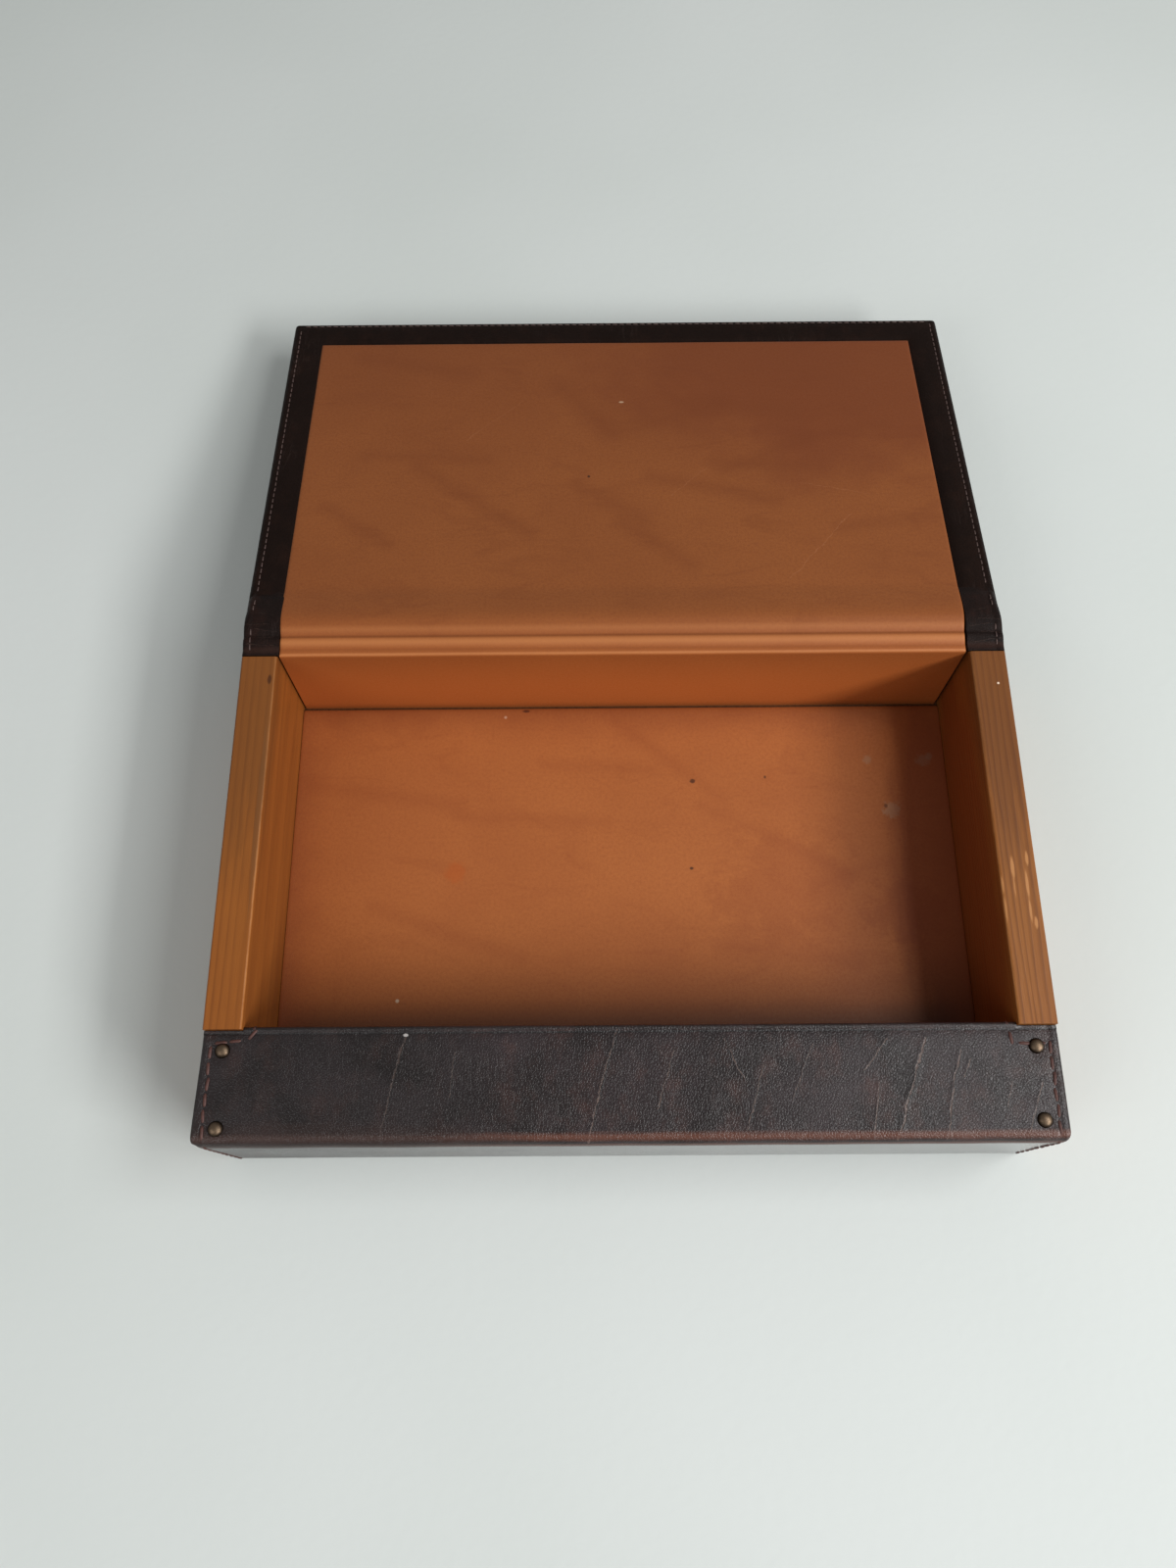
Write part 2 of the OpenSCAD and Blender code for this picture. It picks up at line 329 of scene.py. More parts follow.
def pull_sheet(name, columns, path):
    """A sheet made by hand's way: a row of points across x, pulled along a path of (y, z)."""
    piece = start_point(columns[0], *path[0])
    piece.name = piece.data.name = name
    for a, b in zip(columns, columns[1:]):
        pull(b - a, 0, 0)
    bpy.ops.mesh.select_all(action="SELECT")
    for a, b in zip(path, path[1:]):
        pull(0, b[0] - a[0], b[1] - a[1])
    bpy.ops.object.mode_set(mode="OBJECT")
    # the flat sheet's own coordinates, in metres: across, and along the path
    run = [0.0]
    for a, b in zip(path, path[1:]):
        run.append(run[-1] + math.dist(a, b))
    along = []
    for v in piece.data.vertices:
        at = (v.co.y * 1000, v.co.z * 1000)
        along.append(run[min(range(len(path)), key=lambda i: math.dist(path[i], at))])
    layer = piece.data.uv_layers.active or piece.data.uv_layers.new(name="flat")
    layer.name = "flat"
    for loop in piece.data.loops:
        k = loop.vertex_index
        layer.data[loop.index].uv = (piece.data.vertices[k].co.x, along[k] / 1000)
    return piece


def turn_out(piece, at, towards):
    """Makes the face nearest to a point look the given way, and all others with it."""
    face = min(piece.data.polygons, key=lambda f: (f.center * 1000 - Vector(at)).length)
    if face.normal.dot(Vector(towards)) < 0:
        edit_all()
        bpy.ops.mesh.flip_normals()
        bpy.ops.object.mode_set(mode="OBJECT")


def shape(piece, where):
    """Moves each point by where(x, y, z), in millimetres."""
    for v in piece.data.vertices:
        v.co = Vector(where(*(v.co * 1000))) / 1000


def apply_modifier(piece, kind, **settings):
    """Adds a modifier and applies it."""
    modifier = piece.modifiers.new(kind.lower(), kind)
    for name, value in settings.items():
        setattr(modifier, name, value)
    bpy.context.view_layer.objects.active = piece
    bpy.ops.object.modifier_apply(modifier=modifier.name)


def thicken(piece, thickness, edge=0.3):
    """Gives a sheet its thickness, on the side away from its grain, and eases its cut edges."""
    apply_modifier(piece, "SOLIDIFY", thickness=thickness / 1000, offset=-1, use_even_offset=True)
    apply_modifier(piece, "BEVEL", width=edge / 1000, segments=2, limit_method="ANGLE",
                   angle_limit=math.radians(62), use_clamp_overlap=True)
    smooth(piece)


def arc(middle, radius, start, end, steps):
    """Points of an arc in the (y, z) plane, angles in degrees."""
    return [(middle[0] + radius * math.cos(math.radians(start + (end - start) * i / steps)),
             middle[1] + radius * math.sin(math.radians(start + (end - start) * i / steps)))
            for i in range(steps + 1)]


def between(a, b, steps):
    """Points from a to b, without a itself."""
    return [(a[0] + (b[0] - a[0]) * i / steps, a[1] + (b[1] - a[1]) * i / steps)
            for i in range(1, steps + 1)]


def spread(half, edges, pitch):
    """Even columns from -half to half, with closer ones at the given distances from each end."""
    inner = half - edges[-1]
    count = round(2 * inner / pitch)
    middle = [-inner + 2 * inner * i / count for i in range(count + 1)]
    return [-half + e for e in edges[:-1]] + middle + [half - e for e in edges[-2::-1]]


def soft(x, y, size, depth):
    """A gentle unevenness of hand-laid leather."""
    return depth * noise.noise(Vector((x / size, y / size, 3.7)))


def cell_edges(tree, where, scale):
    """The distance from the edges of small irregular cells."""
    return put(tree, "TexVoronoi", {"Vector": where, "Scale": scale},
               feature="DISTANCE_TO_EDGE").outputs["Distance"]


# fine pebbled grain with pores, in the flat sheet's own coordinates
hide_grain, taken, given = new_group(
    "hide_grain", [("Where", "vector"), ("Cell", "value")],
    [("Height", "value"), ("Crackle", "value"), ("Patch", "value"), ("Warm", "value"),
     ("Wrinkle", "value")])
tree = hide_grain
scaled = vector(tree, "SCALE", taken["Where"], Scale=1000.0)
drift = put(tree, "TexNoise", {"Vector": scaled, "Scale": 0.5, "Detail": 2}).outputs["Color"]
pushed = vector(tree, "ADD", scaled, drift)
small = vector(tree, "SCALE", pushed, Scale=taken["Cell"])
pebble = step(tree, cell_edges(tree, small, 1.0), 0.0, 0.22)
# wrinkles run with the sheet, from the back to the front
streak = cloud(tree, stretched(tree, scaled, (1.0, 0.16, 1)), 0.3, 4, 0.6, 0.5)
wrinkle = step(tree, calc(tree, "ABSOLUTE", minus(tree, streak, 0.5)), 0, 0.03, 1, 0)
wrinkle = times(tree, wrinkle, step(tree, cloud(tree, scaled, 0.05, 2), 0.5, 0.75))
rough_skin = times(tree, cloud(tree, scaled, 1.6, 4, 0.6), 0.8)
tree.links.new(plus(tree, plus(tree, times(tree, pebble, 0.6), rough_skin), times(tree, wrinkle, 0.6)),
               given["Height"])
tree.links.new(wrinkle, given["Wrinkle"])
tree.links.new(cloud(tree, stretched(tree, scaled, (1.0, 0.7, 1)), 0.11, 4, 0.65), given["Warm"])
tree.links.new(pebble, given["Crackle"])
tree.links.new(cloud(tree, scaled, 0.035, 4, 0.6, 0.6), given["Patch"])

# a crease or scratch: a thin line from one point of the flat sheet to another, its shaded
# side, and a soft wide vein along it
crease, taken, given = new_group(
    "crease",
    [("Where", "vector"), ("From", "vector"), ("To", "vector"), ("Width", "value"), ("Sway", "value")],
    [("Mask", "value"), ("Side", "value"), ("Soft", "value")])
tree = crease
scaled = stretched(tree, taken["Where"], (1000, 1000, 0))
drift = put(tree, "TexNoise", {"Vector": scaled, "Scale": 0.16, "Detail": 3}).outputs["Color"]
drift = vector(tree, "SUBTRACT", drift, (0.5, 0.5, 0.5))
drift = vector(tree, "SCALE", drift, Scale=taken["Sway"])
fine = put(tree, "TexNoise", {"Vector": scaled, "Scale": 0.9, "Detail": 2}).outputs["Color"]
fine = vector(tree, "SUBTRACT", fine, (0.5, 0.5, 0.5))
place = vector(tree, "ADD", scaled, drift)
place = vector(tree, "ADD", place, fine)
place = stretched(tree, place, (1, 1, 0))
arm = vector(tree, "SUBTRACT", place, taken["From"])
line = vector(tree, "SUBTRACT", taken["To"], taken["From"])
along = vector(tree, "DOT_PRODUCT", arm, line)
whole = vector(tree, "DOT_PRODUCT", line, line)
part = calc(tree, "DIVIDE", along, whole, clamp=True)
foot = vector(tree, "SCALE", line, Scale=part)
rest = vector(tree, "SUBTRACT", arm, foot)
gap = vector(tree, "LENGTH", rest)
thin = times(tree, taken["Width"], step(tree, cloud(tree, scaled, 0.5, 3), 0.3, 0.7, 0.3, 1.3))
mask = minus(tree, 1.0, calc(tree, "DIVIDE", gap, thin), clamp=True)
tree.links.new(mask, given["Mask"])
wide = minus(tree, 1.0, calc(tree, "DIVIDE", gap, times(tree, taken["Width"], 3.6)), clamp=True)
tree.links.new(wide, given["Soft"])
turn = vector(tree, "CROSS_PRODUCT", line, rest)
turn = put(tree, "SeparateXYZ", {0: turn}).outputs[2]
tree.links.new(times(tree, wide, calc(tree, "LESS_THAN", turn, 0.0)), given["Side"])


def dark_hide(name, base, worn, rough, patch, sheen, warm, creases=(), line=(112, 93, 85), folds=(),
              polished=None, spots=()):
    """Aged dark leather with a satin finish, its base colour patched with worn and warm ones. On the
    flat sheet, in millimetres: creases are (from, to, width, sway), with a line of their own colour and
    a painted shadow along one side; folds are bands across the sheet (distance along the sheet, half
    width, strength, colour); polished is the stretch along the sheet that hands have smoothed, more so
    at the right."""
    material, tree, shader = new_material(name)
    where = tree.nodes.new("ShaderNodeUVMap")
    where.uv_map = "flat"
    where = where.outputs[0]
    grain = use_group(tree, hide_grain, Where=where, Cell=1.15)
    shader.inputs["Specular IOR Level"].default_value = sheen
    tone = mixed(tree, step(tree, grain["Patch"], 0.3, 0.72, 0, patch), base, worn)
    tone = mixed(tree, step(tree, grain["Warm"], 0.45, 0.75, 0, patch), tone, warm)
    tone = mixed(tree, times(tree, grain["Wrinkle"], 0.08), tone, srgb(120, 100, 94))
    tone = mixed(tree, step(tree, grain["Crackle"], 0.0, 0.7, 0.35, 0.0), tone,
                 (0.004, 0.0025, 0.002, 1))
    height = grain["Height"]
    for start, end, width, sway in creases:
        made = use_group(tree, crease, Where=where, From=(*start, 0), To=(*end, 0), Width=width, Sway=sway)
        # painted shadow along one side of the crease
        tone = mixed(tree, times(tree, made["Side"], 0.75), tone, (0.005, 0.0035, 0.003, 1))
        tone = mixed(tree, times(tree, made["Mask"], 0.85), tone, srgb(*line))
        height = plus(tree, height, times(tree, made["Soft"], 2.0 * width))
        height = minus(tree, height, times(tree, made["Mask"], 1.5 * width))
    apart = put(tree, "SeparateXYZ", {0: where})
    for at, half, strength, colour in folds:
        off = calc(tree, "ABSOLUTE", minus(tree, apart.outputs[1], at / 1000))
        ragged = cloud(tree, stretched(tree, where, (60, 900, 0)), 1.0, 3, 0.7)
        off = plus(tree, off, times(tree, ragged, half / 1300))
        tone = mixed(tree, step(tree, off, half / 2200, half / 750, strength, 0), tone, srgb(*colour))
    tone = add_spots(tree, where, tone, [((*m, 0), (*r, 1), g, c, s) for m, r, g, c, s in spots])
    tree.links.new(tone, shader.inputs["Base Color"])
    dull = step(tree, grain["Patch"], 0.25, 0.75, *rough)
    if polished:
        low, high = polished[0] / 1000, polished[1] / 1000
        smooth = times(tree, step(tree, apart.outputs[1], low, low + 0.003),
                      step(tree, apart.outputs[1], high - 0.003, high, 1, 0))
        smooth = times(tree, smooth, step(tree, apart.outputs[0], -0.14, 0.05, 0.3, 1))
        dull = put(tree, "MapRange", {0: smooth, 3: dull, 4: 0.1}).outputs[0]
        height = times(tree, height, step(tree, smooth, 0, 1, 1, 0.1))
    tree.links.new(dull, shader.inputs["Roughness"])
    bump(tree, shader, height, 0.55, 0.00016)
    return material


hide_t = 1.3
half_box, half_open = 136.0, 123.4
ledge_z, ledge_in = 46.7, -54.5
# from the tongue under the ledge board, over the rolled lip, the ledge and the front,
# along the underside and up the back
hide_path = [(-67.8, 39.1)] + between((-67.8, 39.1), (-54.7, 39.1), 4)
hide_path += arc((-54.7, 40.4), 1.3, -90, 0, 4)[1:]
hide_path += between((-53.4, 40.4), (-53.4, 45.95), 4)
hide_path += arc((-54.45, 45.95), 1.05, 0, 90, 5)[1:]
hide_path += [(-54.9, 46.93), (-55.25, 46.62), (-55.6, 46.42), (-56.1, 46.5), (-57, 46.64), (-58.5, 46.68),
              (-59.5, 46.7)]
hide_path += between((-59.5, 46.7), (-86.7, ledge_z), 18)
hide_path += arc((-86.7, 42.9), 3.8, 90, 180, 10)[1:]
hide_path += between((-90.5, 42.9), (-90.5, 1.3), 14)
hide_path += arc((-89.2, 1.3), 1.3, 180, 270, 3)[1:]
hide_path += between((-89.2, 0), (89.2, 0), 15)
hide_path += arc((89.2, 1.3), 1.3, 270, 360, 3)[1:]
hide_path += between((90.5, 1.3), (90.5, 47.7), 12)
hide_edges = [0, 0.08, 0.3, 0.7, 1.2, 1.8, 2.5, 3.1, 3.8, 5, 6.5, 8, 10, 12.6, 12.7, 14.5]
tray_hide = pull_sheet("tray_hide", spread(half_box, hide_edges, 2.4), hide_path)
turn_out(tray_hide, (0, -75, 46.7), (0, 0, 1))
# the tongue is only as wide as the opening
bpy.ops.object.mode_set(mode="EDIT")
bpy.ops.mesh.select_all(action="DESELECT")
bpy.ops.mesh.select_mode(type="FACE")
bpy.ops.object.mode_set(mode="OBJECT")
for face in tray_hide.data.polygons:
    x, y, z = face.center * 1000
    face.select = abs(x) > half_open - 0.05 and -69 < y < -53.3 and z < 45.9 and z > 30
bpy.ops.object.mode_set(mode="EDIT")
bpy.ops.mesh.delete(type="FACE")
bpy.ops.mesh.select_mode(type="VERT")
bpy.ops.object.mode_set(mode="OBJECT")

nails = [(-129.4, -61.0), (-129.2, -84.9), (128.8, -61.1), (128.4, -83.9)]


def lay_hide(x, y, z):
    side = abs(x)
    if z > 45.5 and y < -53:
        # the hem at the ledge's ends, the pull of the nails, and the flat part over the wall tops;
        # the left end flares a little towards the front
        if x < -124:
            x -= 0.9 * min(max((-60 - y) / 26, 0), 1) * (side - 124) / 12
        if side > half_open and z > ledge_z:
            z = ledge_z + (z - ledge_z) * 0.1
        if side > half_open and y > -57:
            y = min(y, ledge_in - 0.15)
        edge = half_box - side
        z -= 0.16 * math.exp(-((edge - 3.0) / 0.8) ** 2)
        z += 0.14 * math.exp(-((edge - 1.3) / 0.9) ** 2)
        for nx, ny in nails:
            reach = math.hypot(x - nx, y - ny)
            z += 0.16 * math.exp(-((reach - 5.2) / 1.8) ** 2) - 0.3 * math.exp(-(reach / 3.2) ** 2)
        z += soft(x, y, 14, 0.16) + soft(x + 50, y, 5, 0.05)
        z -= 0.35 * step_down(edge, 0.9)
    elif y < -89 and z > 2:
        y += soft(x, z, 22, 0.18)
        y += 0.12 * math.exp(-((half_box - side - 3.0) / 0.8) ** 2)
    elif y > 89 and z > 2:
        y += soft(x, z, 22, 0.15)
        y -= 0.12 * math.exp(-((half_box - side - 3.0) / 0.8) ** 2)
    # the upright corners are rounded
    over = side - 133.5
    if over > 0:
        inset = 2.5 - math.sqrt(max(0.0, 2.5 ** 2 - over ** 2))
        y = max(y, -90.5 + inset) if y < 0 else min(y, 90.5 - inset)
    return x, y, z


def step_down(distance, width):
    """1 at the edge, falling to 0 at the width."""
    t = min(max(1 - distance / width, 0), 1)
    return t * t


shape(tray_hide, lay_hide)
thicken(tray_hide, hide_t, 0.35)
# distance along the sheet to the ledge's inner edge (tongue, turn, upright and roll) and to the front fold
run_ledge = 13.1 + 2.04 + 5.55 + 1.65


def ledge_at(x, y):
    """A point of the ledge on the flat sheet."""
    return x, run_ledge + (-54.45 - y) + 0.19


hide_creases = [(ledge_at(a, b), ledge_at(c, d), width, sway) for a, b, c, d, width, sway in (
    (-71.6, -56.8, -75.2, -71.3, 0.5, 2.2), (-75.2, -71.3, -78.0, -89, 0.4, 2.2),
    (-4.0, -55.0, -9.7, -73.2, 0.30, 1.5), (-9.7, -73.2, -13.5, -90, 0.35, 1.5),
    (94.2, -58.4, 87.9, -73.9, 0.5, 2.4), (87.9, -73.9, 82.6, -89.5, 0.45, 2.4),
    (104.6, -62.0, 101.1, -74.0, 0.4, 2.2), (101.1, -74.0, 97.7, -89.5, 0.45, 2.2),
    (81.6, -58.6, 73.5, -68.5, 0.28, 1.5), (78.1, -72.0, 75.2, -88.0, 0.32, 1.5),
    (129.3, -72.1, 122.7, -88.9, 0.3, 1.5), (-55.7, -62.0, -56.8, -76, 0.25, 1.0),
    (107.5, -65.0, 105.0, -70.5, 0.3, 1.0), (119.6, -72.0, 117.5, -80.0, 0.2, 1.5),
    (14, -62, 8, -80, 0.22, 2.5), (30, -58, 36, -71, 0.2, 3.0),
    (42, -66, 36, -86, 0.2, 2.5), (58, -60, 50, -78, 0.2, 2.5))]
front_fold = run_ledge + (86.7 - 54.45) + 0.19
tray_leather = dark_hide(
    "tray_hide", srgb(24, 14, 13), srgb(52, 37, 40), (0.3, 0.42), 0.7, 0.6, srgb(70, 44, 39), hide_creases,
    folds=[(front_fold + 1.4, 2.2, 0.85, (96, 54, 38)), (front_fold + 4.8, 1.3, 0.8, (92, 54, 40)),
           # painted shade: the two dark bands on the ledge's rolled lip and in the groove under it
           (run_ledge, 0.9, 0.6, (26, 16, 14)), (run_ledge + 1.4, 0.6, 0.9, (10, 6, 6))],
    polished=(front_fold + 4.5, front_fold + 50),
    # the first spot is painted shade, darkening the ledge's left half; the second darkens the left half of the
    # front fold; the third is a pale nick
    spots=[(ledge_at(-100, -72), (78, 34), 0.9, srgb(16, 9, 8), 0.55),
           ((-100, front_fold + 2), (80, 6), 0.8, srgb(44, 28, 24), 0.6),
           (ledge_at(-71.4, -56.4), (1.0, 0.6), 0.7, srgb(190, 184, 180), 0.95)])
tray_hide.data.materials.append(tray_leather)
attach(tray_hide, "tray")
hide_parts("body_cover")

# ---------------------------------------------------------------- nails
# Four domed upholstery nails of brass, 5 mm across, driven through the ledge's hide
# into the side walls' tops. Their heads are darkened with age and rubbed bright on top.
nail_path = [(0.0, 1.55), (0.55, 1.51), (1.1, 1.37), (1.6, 1.13), (2.0, 0.8), (2.3, 0.42), (2.45, 0.1),
             (2.47, -0.12), (2.3, -0.2), (0.75, -0.1), (0.7, -0.4), (0.7, -10.4), (0.0, -11.8)]
nail = start_point(0, 0, nail_path[0][1])
for a, b in zip(nail_path, nail_path[1:]):
    pull(b[0] - a[0], 0, b[1] - a[1])
bpy.ops.mesh.select_all(action="SELECT")
bpy.ops.mesh.spin(steps=36, angle=math.tau, center=(0, 0, 0), axis=(0, 0, 1))
bpy.ops.mesh.select_all(action="SELECT")
bpy.ops.mesh.remove_doubles(threshold=0.00001)
bpy.ops.mesh.normals_make_consistent(inside=False)
bpy.ops.object.mode_set(mode="OBJECT")
heads = []
for k, ((x, y), (lean_x, lean_y)) in enumerate(zip(nails, ((3, 2), (-4, 3), (-2, -4), (4, -2)))):
    one = nail.copy()
    one.data = nail.data.copy()
    bpy.context.collection.objects.link(one)
    for v in one.data.vertices:
        if v.co.z > 0:
            v.co.z += soft(v.co.x * 1000 + 9 * k, v.co.y * 1000, 1.1, 0.05) / 1000
    tilt = Matrix.Rotation(math.radians(lean_x), 4, "X") @ Matrix.Rotation(math.radians(lean_y), 4, "Y")
    one.data.transform(Matrix.Translation((x / 1000, y / 1000, (ledge_z - 0.08) / 1000)) @ tilt)
    heads.append(one)
bpy.data.objects.remove(nail)
nail_heads = join(heads, "nail_heads")
smooth(nail_heads)
aged_brass, tree, shader = new_material("aged_brass")
where = tree.nodes.new("ShaderNodeTexCoord").outputs["Object"]
apart = put(tree, "SeparateXYZ", {0: where})
ragged = times(tree, minus(tree, cloud(tree, where, 900, 4, 0.7), 0.5), 0.0011)
high = plus(tree, apart.outputs[2], ragged)
rub = step(tree, high, 0.0470, 0.0481)
speck = cloud(tree, where, 2600, 3, 0.7)
tone = mixed(tree, rub, srgb(52, 42, 34), srgb(120, 102, 84))
tone = mixed(tree, step(tree, speck, 0.55, 0.75, 0, 0.45), tone, srgb(60, 46, 34))
tree.links.new(tone, shader.inputs["Base Color"])
shader.inputs["Metallic"].default_value = 1.0
tree.links.new(step(tree, speck, 0.3, 0.8, 0.42, 0.58), shader.inputs["Roughness"])
bump(tree, shader, speck, 0.3, 0.00008)
nail_heads.data.materials.clear()
nail_heads.data.materials.append(aged_brass)
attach(nail_heads, "tray")
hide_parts("dome_nails")

# ---------------------------------------------------------------- floor lining
# A loose-edged sheet of tan calf leather glued to the bottom board, cut a little short of
# the walls. It is marked by use: specks, a stain and two pale mildew spots.


def cut_block(name, low, high, xs, ys):
    """A block between two corners, with its faces cut at the given x and y. In millimetres."""
    bpy.ops.object.select_all(action="DESELECT")
    bpy.ops.mesh.primitive_cube_add(
        size=1, location=[(a + b) / 2000 for a, b in zip(low, high)],
        scale=[(b - a) / 1000 for a, b in zip(low, high)])
    piece = bpy.context.object
    piece.name = piece.data.name = name
    bpy.ops.object.transform_apply(location=True, rotation=True, scale=True)
    edit_all()
    for cuts, axis in ((xs, 0), (ys, 1)):
        for at in cuts:
            point, normal = [0, 0, 0], [0, 0, 0]
            point[axis], normal[axis] = at / 1000, 1
            bpy.ops.mesh.select_all(action="SELECT")
            bpy.ops.mesh.bisect(plane_co=point, plane_no=normal)
    bpy.ops.object.mode_set(mode="OBJECT")
    return piece


def flat_map(piece):
    """Writes x and y, in metres, as the piece's own flat coordinates."""
    layer = piece.data.uv_layers.active or piece.data.uv_layers.new(name="flat")
    layer.name = "flat"
    for loop in piece.data.loops:
        co = piece.data.vertices[loop.vertex_index].co
        layer.data[loop.index].uv = (co.x, co.y)


# smooth-finished calf: fine pores, broad cloudy tone and faint darker veins that run slantwise
calf_grain, taken, given = new_group(
    "calf_grain", [("Where", "vector"), ("Base", "colour"), ("Dark", "colour"), ("Vein", "value")],
    [("Colour", "colour"), ("Height", "value"), ("Roughness", "value")])
tree = calf_grain
scaled = vector(tree, "SCALE", taken["Where"], Scale=1000.0)
slant = put(tree, "Mapping", {"Vector": scaled, "Rotation": (0, 0, 0.45), "Scale": (0.35, 1, 1)}).outputs[0]
vein = cloud(tree, slant, 0.05, 3, 0.5, 0.5)
ridge = calc(tree, "ABSOLUTE", minus(tree, vein, 0.5))
ridge = step(tree, ridge, 0.0, 0.05, 1, 0)
ridge = times(tree, ridge, step(tree, cloud(tree, scaled, 0.03, 2), 0.35, 0.7))
broad = cloud(tree, scaled, 0.018, 4, 0.55, 0.4)
fleck = cloud(tree, scaled, 0.9, 4, 0.75)
pore = step(tree, cell_edges(tree, scaled, 1.7), 0.0, 0.16)
tone = mixed(tree, step(tree, broad, 0.3, 0.72, 0.0, 0.26), taken["Base"], taken["Dark"])
tone = mixed(tree, times(tree, ridge, taken["Vein"]), tone, taken["Dark"])
tone = mixed(tree, step(tree, fleck, 0.35, 0.75, 0.0, 0.42), tone, taken["Dark"])
hair = cloud(tree, stretched(tree, scaled, (0.6, 1.5, 1)), 0.35, 5, 0.7)
tone = mixed(tree, step(tree, hair, 0.55, 0.8, 0.0, 0.45), tone, taken["Dark"])
tone = mixed(tree, step(tree, pore, 0.0, 1.0, 0.14, 0.0), tone, taken["Dark"])
tree.links.new(tone, given["Colour"])
tree.links.new(plus(tree, times(tree, pore, 0.4), fleck), given["Height"])
tree.links.new(step(tree, fleck, 0.3, 0.75, 0.46, 0.6), given["Roughness"])


def calf_leather(name, base, dark, vein, spots=(), veins=(), scratches=(), bands=(), edges=None):
    """Tan calf, marked in the flat sheet's millimetres: spots; soft dark veins (from, to, width, strength);
    scratches (from, to, width, colour, strength); bands across the whole sheet (along, half width,
    colour, strength); and a soiled margin, as edges (half width of the sheet, near end, far end, width
    of the margin, colour, strength)."""
    material, tree, shader = new_material(name)
    where = tree.nodes.new("ShaderNodeUVMap")
    where.uv_map = "flat"
    where = where.outputs[0]
    grain = use_group(tree, calf_grain, Where=where, Base=base, Dark=dark, Vein=vein)
    tone = grain["Colour"]
    tone = add_spots(tree, where, tone, [((*m, 0), (*r, 1), g, c, s) for m, r, g, c, s in spots])
    for start, end, width, strength in veins:
        made = use_group(tree, crease, Where=where, From=(*start, 0), To=(*end, 0), Width=width, Sway=4.0)
        tone = mixed(tree, times(tree, made["Soft"], strength), tone, dark)
    height = grain["Height"]
    for start, end, width, colour, strength in scratches:
        made = use_group(tree, crease, Where=where, From=(*start, 0), To=(*end, 0), Width=width, Sway=2.5)
        tone = mixed(tree, times(tree, made["Mask"], strength), tone, colour)
        height = minus(tree, height, times(tree, made["Mask"], 0.4))
    apart = put(tree, "SeparateXYZ", {0: where})
    for at, half, colour, strength in bands:
        off = calc(tree, "ABSOLUTE", minus(tree, apart.outputs[1], at / 1000))
        tone = mixed(tree, step(tree, off, 0, half / 1000, strength, 0), tone, colour)
    if edges:
        half, low, high, width, colour, strength = edges
        inner = minus(tree, half / 1000, calc(tree, "ABSOLUTE", apart.outputs[0]))
        inner = calc(tree, "MINIMUM", inner, minus(tree, high / 1000, apart.outputs[1]))
        inner = calc(tree, "MINIMUM", inner, minus(tree, apart.outputs[1], low / 1000))
        inner = plus(tree, inner, times(tree, cloud(tree, where, 70, 4, 0.6), width / 2000))
        tone = mixed(tree, step(tree, inner, 0, width / 1000, strength, 0), tone, colour)
    tree.links.new(tone, shader.inputs["Base Color"])
    tree.links.new(grain["Roughness"], shader.inputs["Roughness"])
    shader.inputs["Specular IOR Level"].default_value = 0.3
    bump(tree, shader, height, 0.4, 0.00010)
    return material


floor_half, floor_front, floor_back = 123.25, -80.7, 76.3
floor_xs = spread(floor_half, [0, 0.2, 0.5, 1.5, 3, 8], 9)[1:-1]
floor_ys = [floor_front + d for d in (0.4, 1.2, 3, 8)] + [-72.7 + 144 * i / 16 for i in range(1, 16)]
floor_ys += [floor_back - d for d in (8, 3, 1.2, 0.4)]
floor_lining = cut_block("floor_lining_leather", (-floor_half, floor_front, 4.1), (floor_half, floor_back, 5.3),
                         floor_xs, floor_ys)
flat_map(floor_lining)


def lay_floor(x, y, z):
    if z > 4.7:
        z += soft(x, y, 30, 0.12) - 0.35 * step_down(min(floor_back - y, y - floor_front), 1.3)
        z -= 0.12 * step_down(floor_half - abs(x), 0.5)
    return x, y, z


shape(floor_lining, lay_floor)
smooth(floor_lining)
calf_base, calf_dark = srgb(178, 104, 52), srgb(142, 71, 34)
mildew = srgb(166, 158, 132)
soot_and_shade = srgb(48, 26, 16)
floor_spots = [
    ((115.4, 53.5), (3.6, 2.6), 2.2, mildew, 0.38), ((117.6, 55.2), (1.6, 1.6), 1.6, mildew, 0.5),
    ((101.6, 33.5), (4.0, 3.6), 2.4, mildew, 0.26), ((93.9, 53.9), (2.0, 2.0), 2.0, mildew, 0.2),
    ((99.3, 35.1), (0.9, 0.9), 1.0, soot_and_shade, 0.6), ((-36.7, 75.2), (1.7, 0.8), 0.8, soot_and_shade, 0.95),
    ((26.8, 45.6), (1.3, 1.1), 1.0, soot_and_shade, 0.85), ((25.2, 11.0), (0.9, 0.7), 0.8, soot_and_shade, 0.8),
    ((54.4, 47.0), (0.6, 0.7), 0.8, soot_and_shade, 0.7), ((-62.1, 10.1), (4.6, 4.6), 1.4, srgb(176, 84, 30), 0.5),
    # painted shade: the long dark red-brown patch along the right wall, at (117, 10), stands for the right wall's
    # shadow on the floor
    ((104, -5), (18, 13), 2.6, calf_dark, 0.4), ((117, 10), (20, 92), 0.6, srgb(106, 42, 20), 0.65),
    ((60, 5), (30, 24), 2.8, calf_dark, 0.3), ((-44.7, 72.6), (0.7, 0.7), 0.8, srgb(220, 180, 150), 0.8),
    ((-81.3, -37.5), (0.8, 0.8), 0.6, srgb(220, 190, 160), 0.9)]
